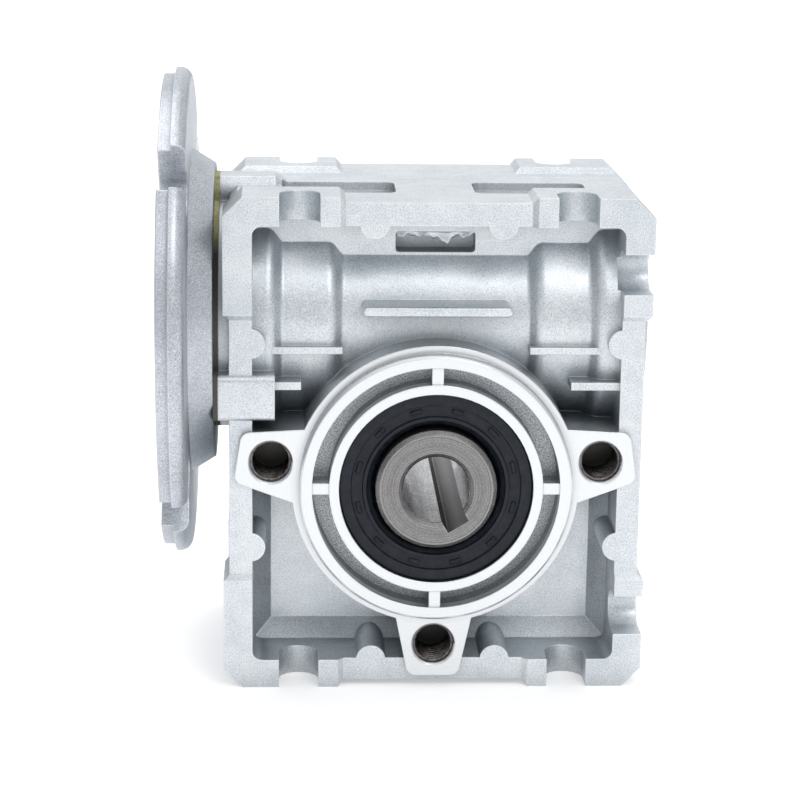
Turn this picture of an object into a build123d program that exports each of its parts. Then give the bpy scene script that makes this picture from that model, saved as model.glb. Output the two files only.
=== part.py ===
from build123d import *
import math
import os

# Worm gearbox with a hollow output shaft and a round motor flange, in millimetres.
# The origin is on the output axis, midway between the two ends of the output shaft.
# Y runs along the output axis with the front at -Y, X runs along the worm axis
# with the motor flange at -X, and Z points up from the feet.

# Housing frame, as seen from the front
frame_bottom = -35.0
frame_above_worm = 23.0
frame_half_depth = 22.5
frame_band = 11.0
frame_wall = 4.8
frame_inner_round = 1.6
corner_chamfer = 3.2
pad_raise = 1.0
pad_length = 19.0
side_pad_low_length = 18.7
side_pad_high_length = 19.4
web_setback = 3.0

# Mounting slots, open to the front and to the rear
slot_width = 6.6
slot_corner_inset = 12.5
slot_face_inset = 4.0

# Shallow pockets and window of the top wall
top_pocket_near_x = 6.5
top_pocket_side_wall = 9.6
top_pocket_back_y = 0.5
top_pocket_depth = 1.5
top_pocket_round = 2.0
window_half_width = 6.6
window_drop = 6.0
window_height = 3.4
window_depth = 4.5
window_round = 0.6

# Recess in the underside, between the two webs
core_web_wall = 4.0
core_side_wall = 5.0
core_rib_half_width = 3.0
core_roof = 1.0

# Round pads of the ejector pins, by height on the side walls and by x on the others
ejector_radius = 2.45
ejector_inset = 0.3
ejector_side_low_z = -10.8
ejector_side_high_z = 23.7
ejector_x = 10.4

# Gear pair: right-hand worm with one start under the teeth of a bronze wheel
gear_module = 1.25
wheel_teeth = 30
worm_pitch_diameter = 12.5
pressure_angle = 20.0
backlash = 0.24
tooth_root_clearance = 0.25
wheel_rim_excess = 0.25
wheel_rim_chamfer = 1.0
wheel_tooth_foot_sink = 0.5
wheel_hub_radius = 14.0
wheel_hub_step = 3.0
chamber_clearance = 1.2
worm_thread_end_gap = 0.5
worm_thread_sink = 0.15
worm_neck_radius = 5.4
worm_neck_length = 4.0

# Output shaft, its bearings and seals
shaft_proud = 0.5
output_bore = 11.0
output_bore_chamfer = 0.8
output_key_width = 4.0
output_key_depth = 1.8
output_key_angle = -59.0
output_shaft_chamfer = 0.7
hub_shoulder_radius = 11.9
output_bearing_bore = 20.0
output_bearing_outer = 37.0
output_bearing_width = 9.0
output_ball = 5.5
output_ball_count = 9
output_seal_outer = 32.0
output_seal_width = 5.0
output_seal_recess = 0.8
output_seal_gap = 1.2

# Round boss, spigot ring and ears around the output shaft
drum_wall = 2.25
spigot_radius = 22.5
spigot_height = 2.0
spigot_chamfer = 0.4
groove_outer_wall = 2.1
groove_inner_wall = 1.6
groove_depth = 5.2
groove_bridge_width = 1.9
groove_bridge_drop = 0.3
ear_circle_radius = 27.5
ear_angles = (8.5, 171.5, -90.0)
ear_root_radius = 20.0
ear_root_half_width = 6.9
ear_tip_radius = 33.0
ear_tip_half_width = 4.2
ear_round = 1.6
ear_hole = 6.8
ear_hole_depth = 10.0
ear_hole_chamfer = 0.35

# Rear cover
cover_seat_width = 1.75
cover_edge_clearance = 0.3
cover_lobe_radius = 4.0
cover_wall = 2.0
cover_screw_outset = 3.3
cover_screw_angles = (60.0, 120.0, -45.0, -135.0)
cover_thickness = 5.0
cover_screw_length = 9.0
o_ring_section = 1.6
o_ring_offset = 2.6
o_ring_side_room = 0.1
cover_pilot_clearance = 0.05
cover_end_clearance = 0.1

# Worm tube of the housing, which grows in steps from its middle to its ends
tube_bearing_wall = 3.0
tube_middle_drop = 1.6
tube_middle_setback = 3.6
tube_bearing_reach = 6.4
tube_end_rise = 1.8
tube_step_length = 1.7
tube_step_round = 2.0
tube_step_hollow = 0.8
tube_mouth_proud = 0.8
tube_tail_wall = 4.0
worm_bore_radius = 11.0
rib_foot = 2.0
centre_rib_half_length = 12.2
centre_rib_height = 4.1
centre_rib_thickness = 1.6
centre_rib_setback = 0.5
centre_rib_corner = 0.7
centre_rib_nose = 0.4
long_rib_drop = 2.9
long_rib_thickness = 1.15
long_rib_setback = 3.3
short_rib_drop = 8.55
short_rib_thickness = 1.3
short_rib_setback = 2.0
short_rib_length = 8.0

# Worm shaft, its bearings, seal, circlips and cap
input_bearing_bore = 17.0
input_bearing_outer = 30.0
input_bearing_width = 7.0
input_ball = 3.9
input_ball_count = 11
end_bearing_bore = 10.0
end_bearing_outer = 26.0
end_bearing_width = 8.0
end_ball = 4.76
end_ball_count = 7
bearing_land = 0.7
bearing_edge = 0.3
cage_thickness = 0.4
cage_side = 0.6
worm_shoulder_beyond_wheel = 0.25
worm_shoulder_radius = 9.4
worm_end_shoulder_radius = 6.6
worm_shoulder_length = 2.0
circlip_thickness = 1.1
circlip_groove_depth = 0.8
circlip_ring_width = 2.2
circlip_gap_angle = 40.0
circlip_lug_angle = 7.0
circlip_lug_radius = 1.6
circlip_lug_hole = 0.6
circlip_play = 0.05
input_seal_width = 5.0
input_seal_gap = 0.9
worm_shaft_setback = 4.0
worm_shaft_chamfer = 0.5
worm_tail_length = 1.5
input_bore = 9.0
input_bore_depth = 21.0
input_bore_chamfer = 0.5
input_key_width = 3.0
input_key_depth = 1.4
input_key_length = 14.0
end_cap_width = 5.0
end_cap_inset = 0.4
end_cap_gap = 1.5
end_cap_wall = 1.6
end_cap_edge = 0.4
end_cap_dish = 0.6

# Motor flange and the three screws that hold it
flange_radius = 41.0
flange_thickness = 4.5
flange_face_step = 1.1
flange_face_layer = 2.0
flange_rim_round = 1.9
flange_hub_radius = 27.4
flange_hub_end_radius = 25.0
flange_hub_length = 3.9
gasket_thickness = 0.8
gasket_bore_clearance = 0.2
motor_pilot_radius = 25.0
motor_pilot_depth = 3.0
flange_bore_radius = 9.6
flange_seal_gap = 0.8
flange_slot_inset = 8.5
flange_slot_width = 5.8
flange_slot_mouth = 8.7
flange_slot_count = 4
flange_slot_angle = 45.0
flange_screw_outset = 0.8
flange_boss_radius = 4.1
flange_boss_length = 9.3
flange_boss_taper = 35.0
flange_boss_taper_length = 1.8
flange_boss_flat = 23.4
flange_block_half_height = 3.9
flange_block_setback = 0.2
flange_block_depth = 8.0
flange_block_round = 1.2
flange_screw_depth = 8.0
flange_screw_end_gap = 1.0

# Screws, all of one size
screw_head_radius = 3.4
screw_head_height = 2.8
screw_head_chamfer = 0.35
screw_socket_flats = 2.5
screw_socket_depth = 1.6
screw_tap_radius = 1.65
screw_hole_radius = 2.2
screw_head_clearance = 0.25
screw_head_sink = 0.2
screw_end_gap = 0.5

# Shaft seals: an outer wall, a stepped face and a lip on the shaft
seal_wall = 1.5
seal_edge = 0.3
seal_bead = 1.9
seal_step = 0.5
seal_slope = 0.2
seal_throat = 1.3
seal_throat_ring = 0.7
seal_floor = 1.7
seal_lip_back = 4.1
seal_lip_low = 2.4
seal_lip_high = 3.0
seal_lip_thickness = 0.5
seal_guard_depth = 0.9

# Fits
running_fit = 0.05
seal_lip_gap = 0.06
cap_fit = 0.02
o_ring_fit = 0.02

# Sizes that follow
wheel_pitch_radius = gear_module * wheel_teeth / 2
worm_pitch_radius = worm_pitch_diameter / 2
worm_z = wheel_pitch_radius + worm_pitch_radius
lead = math.pi * gear_module
worm_tip_radius = worm_pitch_radius + gear_module
worm_root_radius = worm_pitch_radius - gear_module - tooth_root_clearance
wheel_tip_radius = wheel_pitch_radius + gear_module
wheel_root_radius = wheel_pitch_radius - gear_module - tooth_root_clearance
wheel_outer_radius = wheel_tip_radius + wheel_rim_excess
chamber_radius = wheel_outer_radius + chamber_clearance
drum_radius = chamber_radius + drum_wall
cover_radius = chamber_radius + cover_seat_width
cover_screw_circle = cover_radius + cover_screw_outset
rear_boss_radius = cover_radius + cover_edge_clearance + cover_wall
groove_outer_radius = spigot_radius - groove_outer_wall
groove_inner_radius = output_seal_outer / 2 + groove_inner_wall

worm_shoulder_x = wheel_pitch_radius + worm_shoulder_beyond_wheel
end_bearing_end_x = worm_shoulder_x + end_bearing_width
end_circlip_x = end_bearing_end_x + circlip_thickness
end_cap_x = end_circlip_x + end_cap_gap
frame_half_width = end_cap_x + end_cap_width + end_cap_inset
frame_top = worm_z + frame_above_worm
frame_inner_x = frame_half_width - frame_wall
frame_inner_low = frame_bottom + frame_wall
frame_inner_high = frame_top - frame_wall
band_y = frame_half_depth - frame_band
web_half_depth = band_y - web_setback
core_half_depth = web_half_depth - core_web_wall
pad_inner_x = frame_half_width - pad_length
side_pad_low_z = frame_bottom + side_pad_low_length
side_pad_high_z = frame_top - side_pad_high_length
slot_x = frame_half_width - slot_corner_inset
slot_y = frame_half_depth - slot_face_inset
side_slot_low_z = frame_bottom + slot_corner_inset
side_slot_high_z = frame_top - slot_corner_inset
top_pocket_far_x = frame_half_width - top_pocket_side_wall
window_low_z = frame_inner_high - window_drop

spigot_y = frame_half_depth + spigot_height
shaft_half_length = spigot_y + shaft_proud
seal_out_y = spigot_y - output_seal_recess
bearing_out_y = seal_out_y - output_seal_width - output_seal_gap
hub_half_width = bearing_out_y - output_bearing_width
wheel_face_width = 2 * (hub_half_width - wheel_hub_step)
cover_seat_y = frame_half_depth - cover_thickness
screw_head_room = screw_head_height + screw_head_sink

worm_thread_length = 2 * (worm_shoulder_x - worm_shoulder_length - worm_neck_length)
input_bearing_end_x = worm_shoulder_x + input_bearing_width
input_circlip_x = input_bearing_end_x + circlip_thickness
input_seal_x = input_circlip_x + input_seal_gap

tube_bearing_radius = input_bearing_outer / 2 + tube_bearing_wall
tube_middle_radius = tube_bearing_radius - tube_middle_drop
tube_end_radius = tube_bearing_radius + tube_end_rise
tube_tail_radius = end_bearing_outer / 2 + tube_tail_wall
tube_middle_half = worm_shoulder_x - tube_middle_setback
tube_bearing_half = worm_shoulder_x + tube_bearing_reach
tube_mouth_x = -frame_half_width - tube_mouth_proud
centre_rib_z = worm_z + centre_rib_height
centre_rib_front = frame_half_depth - centre_rib_setback
long_rib_z = worm_z - long_rib_drop
long_rib_front = frame_half_depth - long_rib_setback
short_rib_z = worm_z - short_rib_drop
short_rib_front = frame_half_depth - short_rib_setback
short_rib_start_x = frame_inner_x - short_rib_length

flange_hub_end_x = tube_mouth_x - gasket_thickness
flange_back_x = flange_hub_end_x - flange_hub_length
flange_face_x = flange_back_x - flange_thickness
flange_face_radius = flange_radius - flange_face_step
flange_slot_circle = flange_radius - flange_slot_inset
flange_screw_circle = tube_end_radius + flange_screw_outset
flange_spigot_x = -input_seal_x - input_seal_width - flange_seal_gap
flange_boss_end_x = tube_mouth_x + flange_boss_length
flange_boss_flat_z = worm_z + flange_boss_flat
worm_shaft_front_x = flange_face_x + worm_shaft_setback


def polygon(points):
    """Flat face inside a closed run of straight lines."""
    return make_face(Polyline(*points, close=True))


def mirrored_polygon(points):
    """Flat face from its right-hand points, mirrored to the left."""
    return polygon(points + [(-x, y) for x, y in reversed(points)])


def along_y(sketch, y_far, y_near):
    """Solid from an (x, z) sketch, between a far and a near y."""
    return extrude(Plane.XZ.offset(-y_far) * sketch, amount=y_far - y_near)


def along_x(sketch, x_left, x_right):
    """Solid from a (y, z) sketch, between two x values."""
    return extrude(Plane.YZ.offset(x_left) * sketch, amount=x_right - x_left)


def along_z(sketch, z_low, z_high):
    """Solid from an (x, y) sketch, between two z values."""
    return extrude(Plane.XY.offset(z_low) * sketch, amount=z_high - z_low)


def turned_on_y(points):
    """Solid of revolution about the output axis from (radius, y) points."""
    return revolve(polygon(points), axis=Axis.Y)


def turned_on_worm(points):
    """Solid of revolution about the worm axis from (x, radius) points."""
    return Pos(0, 0, worm_z) * revolve(polygon(points), axis=Axis.X)


def polar(radius, angle):
    """Point on a circle, by its angle in degrees."""
    turn = math.radians(angle)
    return radius * math.cos(turn), radius * math.sin(turn)


def both_sides(shape):
    """The shape and its mirror image behind the mid-depth plane."""
    return shape + mirror(shape, about=Plane.XZ)


def both_ends(shape):
    """The shape and its mirror image on the other side of the output axis."""
    return shape + mirror(shape, about=Plane.YZ)


def flange_screw_points():
    """Places of the three flange screws round the worm axis, the upper one first, as (y, z)."""
    points = [polar(flange_screw_circle, 90 + 120 * index) for index in range(3)]
    return [(y, worm_z + z) for y, z in points]


def cover_screw_points():
    """Places of the rear cover's screws, as (x, z)."""
    return [polar(cover_screw_circle, angle) for angle in cover_screw_angles]


def joined(shapes):
    """One shape from several."""
    total = shapes[0]
    for shape in shapes[1:]:
        total += shape
    return total


def frame_block():
    """Outer form of the casting: the overlap of its front, top and side profiles."""
    low = frame_bottom + pad_raise
    high = frame_top - pad_raise
    side = frame_half_width - pad_raise
    face = frame_half_depth - pad_raise
    step = pad_inner_x - pad_raise
    front_profile = [
        (step, low),
        (pad_inner_x, frame_bottom),
        (frame_half_width - corner_chamfer, frame_bottom),
        (frame_half_width, frame_bottom + corner_chamfer),
        (frame_half_width, side_pad_low_z),
        (side, side_pad_low_z + pad_raise),
        (side, side_pad_high_z - pad_raise),
        (frame_half_width, side_pad_high_z),
        (frame_half_width, frame_top - corner_chamfer),
        (frame_half_width - corner_chamfer, frame_top),
        (pad_inner_x, frame_top),
        (step, high),
    ]
    top_profile = [
        (step, -face),
        (pad_inner_x, -frame_half_depth),
        (frame_half_width, -frame_half_depth),
        (frame_half_width, -band_y),
        (side, pad_raise - band_y),
        (side, band_y - pad_raise),
        (frame_half_width, band_y),
        (frame_half_width, frame_half_depth),
        (pad_inner_x, frame_half_depth),
        (step, face),
    ]
    side_profile = [
        (band_y - pad_raise, low),
        (band_y, frame_bottom),
        (frame_half_depth, frame_bottom),
        (frame_half_depth, side_pad_low_z),
        (face, side_pad_low_z + pad_raise),
        (face, side_pad_high_z - pad_raise),
        (frame_half_depth, side_pad_high_z),
        (frame_half_depth, frame_top),
        (band_y, frame_top),
        (band_y - pad_raise, high),
    ]
    from_front = along_y(mirrored_polygon(front_profile), frame_half_depth, -frame_half_depth)
    from_top = along_z(mirrored_polygon(top_profile), frame_bottom, frame_top)
    from_side = along_x(mirrored_polygon(side_profile), -frame_half_width, frame_half_width)
    return from_front & from_top & from_side


def frame_recess():
    """Open front of the frame, with the deeper floor below the worm tube."""
    height = frame_inner_high - frame_inner_low
    opening = Pos(0, frame_inner_low + height / 2) * RectangleRounded(
        2 * frame_inner_x, height, frame_inner_round
    )
    shallow = along_y(opening, -band_y, -frame_half_depth - 1)
    floor_height = worm_z - frame_inner_low - tube_middle_radius / 2
    floor = Pos(0, frame_inner_low + floor_height / 2) * Rectangle(2 * frame_inner_x, floor_height)
    bevel = band_y - web_half_depth
    deep = extrude(Plane.XZ.offset(band_y) * floor, amount=-bevel, taper=45)
    return shallow + deep


def tube_outside():
    """Worm tube of the casting, with its thicker bearing and end sections."""
    half = [
        (0, tube_middle_radius),
        (tube_middle_half, tube_middle_radius),
        (tube_middle_half + tube_step_length, tube_bearing_radius),
        (tube_bearing_half, tube_bearing_radius),
        (tube_bearing_half + tube_step_length, tube_end_radius),
    ]
    right = half + [(frame_inner_x, tube_end_radius), (frame_inner_x, tube_tail_radius)]
    right = right + [(frame_half_width, tube_tail_radius), (frame_half_width, 0)]
    left = [(tube_mouth_x, 0), (tube_mouth_x, tube_end_radius)]
    left = left + [(-x, radius) for x, radius in reversed(half[1:])]
    profile = polygon(left + right)
    crests = [half[2], half[4]]
    feet = [half[1], half[3]]
    profile = fillet(corners_at(profile, crests), tube_step_round)
    profile = fillet(corners_at(profile, feet), tube_step_hollow)
    return Pos(0, 0, worm_z) * revolve(profile, axis=Axis.X)


def corners_at(profile, points):
    """The corners of a profile at some points and at their mirror images in x."""
    return profile.vertices().filter_by(
        lambda v: any(math.hypot(abs(v.X) - x, v.Y - y) < 0.001 for x, y in points)
    )


def tube_ribs():
    """Straight ribs on the front of the worm tube."""

    foot = -worm_bore_radius - rib_foot

    def rib(x_low, x_high, z, thickness, front):
        blank = Pos((x_low + x_high) / 2, z) * Rectangle(x_high - x_low, thickness)
        return along_y(blank, foot, -front)

    outline = RectangleRounded(
        2 * centre_rib_half_length, centre_rib_thickness, centre_rib_corner
    )
    centre = along_y(Pos(0, centre_rib_z) * outline, foot, -centre_rib_front)
    centre = fillet(centre.edges().group_by(Axis.Y)[0], centre_rib_nose)
    wall_x = frame_inner_x + 1
    long_rib = rib(tube_middle_half, wall_x, long_rib_z, long_rib_thickness, long_rib_front)
    short_rib = rib(short_rib_start_x, wall_x, short_rib_z, short_rib_thickness, short_rib_front)
    return centre + both_ends(long_rib + short_rib)


def ear(angle):
    """Ear with a tapped hole, from the web to the front face."""
    blank = polygon(
        [
            (ear_root_radius, -ear_root_half_width),
            (ear_tip_radius, -ear_tip_half_width),
            (ear_tip_radius, ear_tip_half_width),
            (ear_root_radius, ear_root_half_width),
        ]
    )
    tips = blank.vertices().filter_by(lambda v: v.X > ear_circle_radius)
    return along_y(Rot(0, 0, angle) * fillet(tips, ear_round), 0, -frame_half_depth)


def ears():
    """The three ears of the front face, as far as the frame reaches."""
    height = frame_top - frame_bottom
    frame = Pos(0, frame_bottom + height / 2) * Rectangle(2 * frame_half_width, height)
    return joined([ear(angle) for angle in ear_angles]) & along_y(frame, 0, -frame_half_depth)


def ear_drilling(angle):
    """Tapped hole of an ear with its small chamfer."""
    x, z = polar(ear_circle_radius, angle)
    face = frame_half_depth
    radius = ear_hole / 2
    hole = along_y(Pos(x, z) * Circle(radius), ear_hole_depth - face, -face)
    mouth = Pos(x, ear_hole_chamfer / 2 - face, z) * Rot(90, 0, 0) * Cone(
        radius, radius + ear_hole_chamfer, ear_hole_chamfer
    )
    return hole + mouth


def ejector_pads():
    """Round pads of the ejector pins on the inner edges of the frame."""
    x_side = frame_inner_x + ejector_inset
    places = [
        (x_side, ejector_side_low_z),
        (x_side, ejector_side_high_z),
        (ejector_x, frame_inner_low - ejector_inset),
        (ejector_x, frame_inner_high + ejector_inset),
    ]
    front = frame_half_depth - pad_raise
    return both_ends(
        joined([along_y(Pos(x, z) * Circle(ejector_radius), 0, -front) for x, z in places])
    )


def spigot_ring():
    """Raised ring round the output shaft, with its centring edge broken."""
    return turned_on_y(
        [
            (0, -frame_half_depth + 1),
            (spigot_radius, -frame_half_depth + 1),
            (spigot_radius, spigot_chamfer - spigot_y),
            (spigot_radius - spigot_chamfer, -spigot_y),
            (0, -spigot_y),
        ]
    )


def spigot_groove():
    """Ring-shaped groove of the spigot face, crossed by four bridges."""
    ring = Circle(groove_outer_radius) - Circle(groove_inner_radius)
    bars = Rectangle(2 * spigot_radius, groove_bridge_width)
    bars += Rectangle(groove_bridge_width, 2 * spigot_radius)
    lowered = along_y(ring, groove_bridge_drop - spigot_y, -spigot_y - 1)
    return along_y(ring - bars, groove_depth - spigot_y, -spigot_y - 1) + lowered


def slot_cut(length):
    """Open slot that runs in from y = 0 towards +y, centred on x = 0."""
    straight = Pos(0, length / 2 - 1) * Rectangle(slot_width, length + 2)
    return straight + Pos(0, length) * Circle(slot_width / 2)


def mounting_slots():
    """Slots through the top, bottom and right-hand walls, front and rear."""
    length = frame_half_depth - slot_y
    reach = frame_wall + 1
    slot = Pos(0, -frame_half_depth) * slot_cut(length)
    upright = along_z(slot, 0, reach)
    cuts = Pos(slot_x, 0, frame_bottom - 0.5) * upright
    cuts += Pos(slot_x, 0, frame_top + 0.5 - reach) * upright
    cuts = both_ends(cuts)
    lying = Rot(0, 90, 0) * upright
    for z in (side_slot_low_z, side_slot_high_z):
        cuts += Pos(frame_half_width + 0.5 - reach, 0, z) * lying
    return both_sides(cuts)


def top_pockets():
    """Two shallow pockets in the top wall, behind the front frame."""
    length = top_pocket_far_x - top_pocket_near_x
    width = band_y + top_pocket_back_y
    centre_x = top_pocket_near_x + length / 2
    blank = Pos(centre_x, top_pocket_back_y - width / 2) * RectangleRounded(
        length, width, top_pocket_round
    )
    floor_z = frame_top - pad_raise - top_pocket_depth
    return both_ends(along_z(blank, floor_z, frame_top))


def top_window():
    """Small window in the web above the worm tube."""
    centre_z = window_low_z + window_height / 2
    blank = Pos(0, centre_z) * RectangleRounded(
        2 * window_half_width, window_height, window_round
    )
    return along_y(blank, window_depth - band_y, -band_y - 1)


def underside_core():
    """Recess in the underside on each side of the middle rib, up to the gear chamber's wall."""
    half_width = frame_half_width - core_side_wall
    length = half_width - core_rib_half_width
    blank = Pos(core_rib_half_width + length / 2, 0) * Rectangle(length, 2 * core_half_depth)
    chamber_wall = along_y(Circle(rear_boss_radius), core_half_depth + 1, -core_half_depth - 1)
    roof = worm_z - tube_end_radius - core_roof
    return both_ends(along_z(blank, frame_bottom - 1, roof) - chamber_wall)


def rear_boss():
    """Boss for the rear cover, with the columns for its screws."""
    outline = Circle(rear_boss_radius)
    for x, z in cover_screw_points():
        outline += Pos(x, z) * Circle(cover_lobe_radius)
    return along_y(outline, cover_seat_y, 0)


def top_boss_outline():
    """Outline of the upper flange-screw boss: a circle with a flat top, as (y, z)."""
    y, z = flange_screw_points()[0]
    above = Pos(0, flange_boss_flat_z + flange_boss_radius) * Rectangle(
        4 * flange_boss_radius, 2 * flange_boss_radius
    )
    return Pos(y, z) * Circle(flange_boss_radius) - above


def side_boss_outline():
    """Outline of a lower flange-screw boss: a block with a flat front, as (y, z)."""
    z = flange_screw_points()[1][1]
    middle_y = frame_half_depth - flange_block_setback - flange_block_depth / 2
    return Pos(-middle_y, z) * RectangleRounded(
        flange_block_depth, 2 * flange_block_half_height, flange_block_round
    )


def flange_bosses():
    """Bosses beside the worm tube for the screws of the motor flange."""
    upper = along_x(top_boss_outline(), tube_mouth_x, flange_boss_end_x)
    end = extrude(
        Plane.YZ.offset(flange_boss_end_x) * top_boss_outline(),
        amount=flange_boss_taper_length,
        taper=flange_boss_taper,
    )
    return upper + end + both_sides(along_x(side_boss_outline(), tube_mouth_x, flange_boss_end_x))


def output_bores():
    """Gear chamber, front bearing seat and front seal seat, on the output axis."""
    seat = output_bearing_outer / 2
    seal_seat = output_seal_outer / 2
    return turned_on_y(
        [
            (0, -spigot_y - 1),
            (seal_seat, -spigot_y - 1),
            (seal_seat, -bearing_out_y),
            (seat, -bearing_out_y),
            (seat, -hub_half_width),
            (chamber_radius, -hub_half_width),
            (chamber_radius, cover_seat_y + 1),
            (0, cover_seat_y + 1),
        ]
    )


def worm_bores():
    """Bearing seats, circlip grooves and clearance bore on the worm axis."""
    input_seat = input_bearing_outer / 2
    end_seat = end_bearing_outer / 2
    input_groove = input_seat + circlip_groove_depth
    end_groove = end_seat + circlip_groove_depth
    return turned_on_worm(
        [
            (tube_mouth_x - 1, 0),
            (tube_mouth_x - 1, input_seat),
            (-input_circlip_x, input_seat),
            (-input_circlip_x, input_groove),
            (-input_bearing_end_x, input_groove),
            (-input_bearing_end_x, input_seat),
            (-worm_shoulder_x, input_seat),
            (-worm_shoulder_x, worm_bore_radius),
            (worm_shoulder_x, worm_bore_radius),
            (worm_shoulder_x, end_seat),
            (end_bearing_end_x, end_seat),
            (end_bearing_end_x, end_groove),
            (end_circlip_x, end_groove),
            (end_circlip_x, end_seat),
            (frame_half_width + 1, end_seat),
            (frame_half_width + 1, 0),
        ]
    )


def flange_screw_drillings():
    """Tapped holes for the screws of the motor flange."""
    circles = [Pos(y, z) * Circle(screw_tap_radius) for y, z in flange_screw_points()]
    hole_end = tube_mouth_x + flange_screw_depth
    return joined([along_x(circle, tube_mouth_x - 1, hole_end) for circle in circles])


def cover_screw_drillings():
    """Tapped holes for the screws of the rear cover."""
    depth = cover_screw_length - cover_thickness + screw_head_height + screw_end_gap
    circles = [Pos(x, z) * Circle(screw_tap_radius) for x, z in cover_screw_points()]
    hole_end = cover_seat_y - depth
    return joined([along_y(circle, cover_seat_y + 1, hole_end) for circle in circles])


def cover_room():
    """Room over the seat for the plate and the screw lobes of the rear cover."""
    outline = Circle(cover_radius + cover_edge_clearance)
    for x, z in cover_screw_points():
        outline += Pos(x, z) * Circle(cover_lobe_radius + cover_edge_clearance)
    return along_y(outline, frame_half_depth + 1, cover_seat_y)


def housing():
    """One die casting: frame, web, worm tube, gear chamber, spigot and ears."""
    body = frame_block() - both_sides(frame_recess())
    body += tube_outside()
    body += along_y(Circle(drum_radius), 0, -frame_half_depth)
    body += both_sides(tube_ribs() + ejector_pads() + ears())
    body += rear_boss()
    body += flange_bosses()
    body -= cover_room()
    body += spigot_ring()
    body -= spigot_groove()
    body -= mounting_slots()
    body -= top_pockets()
    body -= top_window()
    body -= underside_core()
    body -= output_bores()
    body -= worm_bores()
    body -= flange_screw_drillings()
    body -= cover_screw_drillings()
    for angle in ear_angles:
        body -= both_sides(ear_drilling(angle))
    return body


def side_cover():
    """Rear cover with its bearing seat, seal seat and the same ring as the front."""
    seat = output_bearing_outer / 2
    seal_seat = output_seal_outer / 2
    pilot = chamber_radius - cover_pilot_clearance
    inner_y = hub_half_width + cover_end_clearance
    groove_y = cover_seat_y - o_ring_offset
    groove_half = o_ring_section / 2 + o_ring_side_room
    groove = chamber_radius - o_ring_section - 2 * o_ring_fit
    plate_y = cover_seat_y + cover_thickness
    cover = turned_on_y(
        [
            (seat, inner_y),
            (pilot, inner_y),
            (pilot, groove_y - groove_half),
            (groove, groove_y - groove_half),
            (groove, groove_y + groove_half),
            (pilot, groove_y + groove_half),
            (pilot, cover_seat_y),
            (cover_radius, cover_seat_y),
            (cover_radius, plate_y),
            (spigot_radius, plate_y),
            (spigot_radius, spigot_y - spigot_chamfer),
            (spigot_radius - spigot_chamfer, spigot_y),
            (seal_seat, spigot_y),
            (seal_seat, bearing_out_y),
            (seat, bearing_out_y),
        ]
    )
    head_floor = plate_y - screw_head_room
    ring_room = along_y(Circle(spigot_radius), plate_y + 1, cover_seat_y)
    for x, z in cover_screw_points():
        lobe = along_y(Pos(x, z) * Circle(cover_lobe_radius), plate_y, cover_seat_y)
        cover += lobe - ring_room
    for x, z in cover_screw_points():
        cover -= along_y(Pos(x, z) * Circle(screw_hole_radius), plate_y + 1, cover_seat_y - 1)
        pocket = Pos(x, z) * Circle(screw_head_radius + screw_head_clearance)
        cover -= along_y(pocket, plate_y + 1, head_floor) - ring_room
    return cover - mirror(spigot_groove(), about=Plane.XZ)


def cover_o_ring():
    """O-ring in the groove of the cover's pilot."""
    centre = chamber_radius - o_ring_section / 2 - o_ring_fit
    section = Pos(centre, cover_seat_y - o_ring_offset) * Circle(o_ring_section / 2)
    return revolve(section, axis=Axis.Y)


def socket_screw(length):
    """Cap screw on the Z axis: the head above z = 0 and the shank below."""
    head = Pos(0, 0, screw_head_height / 2) * Cylinder(screw_head_radius, screw_head_height)
    head = chamfer(head.edges().group_by(Axis.Z)[-1], screw_head_chamfer)
    shank = Pos(0, 0, -length / 2) * Cylinder(screw_tap_radius, length)
    socket = RegularPolygon(screw_socket_flats / 2, 6, major_radius=False)
    socket_floor = screw_head_height - screw_socket_depth
    return head + shank - along_z(socket, socket_floor, screw_head_height + 1)


def cover_screws():
    """The screws of the rear cover."""
    head_floor = cover_seat_y + cover_thickness - screw_head_room
    screw = Rot(-90, 0, 0) * socket_screw(cover_screw_length)
    return [Pos(x, head_floor, z) * screw for x, z in cover_screw_points()]


def key_slot(bore_radius, depth, width):
    """Outline of a keyway on the +x side of a bore."""
    reach = bore_radius + depth
    return Pos(reach / 2, 0) * Rectangle(reach, width)


def output_shaft():
    """Hollow output shaft with a keyed bore and the hub that carries the wheel rim."""
    journal = output_bearing_bore / 2
    bore = output_bore / 2
    edge = output_shaft_chamfer
    rim_half = wheel_face_width / 2
    half = [
        (bore + output_bore_chamfer, shaft_half_length),
        (journal - edge, shaft_half_length),
        (journal, shaft_half_length - edge),
        (journal, hub_half_width),
        (hub_shoulder_radius, hub_half_width),
        (hub_shoulder_radius, rim_half),
        (wheel_hub_radius, rim_half),
    ]
    other_half = [(radius, -y) for radius, y in reversed(half)]
    inner = [
        (bore, output_bore_chamfer - shaft_half_length),
        (bore, shaft_half_length - output_bore_chamfer),
    ]
    shaft = turned_on_y(half + other_half + inner)
    keyway = Rot(0, 0, output_key_angle) * key_slot(bore, output_key_depth, output_key_width)
    return shaft - along_y(keyway, shaft_half_length + 1, -shaft_half_length - 1)


def involute_point(base_radius, radius):
    """Angle in radians swept by the involute of a base circle at a radius."""
    roll = math.sqrt(max((radius / base_radius) ** 2 - 1, 0))
    return roll - math.atan(roll)


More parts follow.
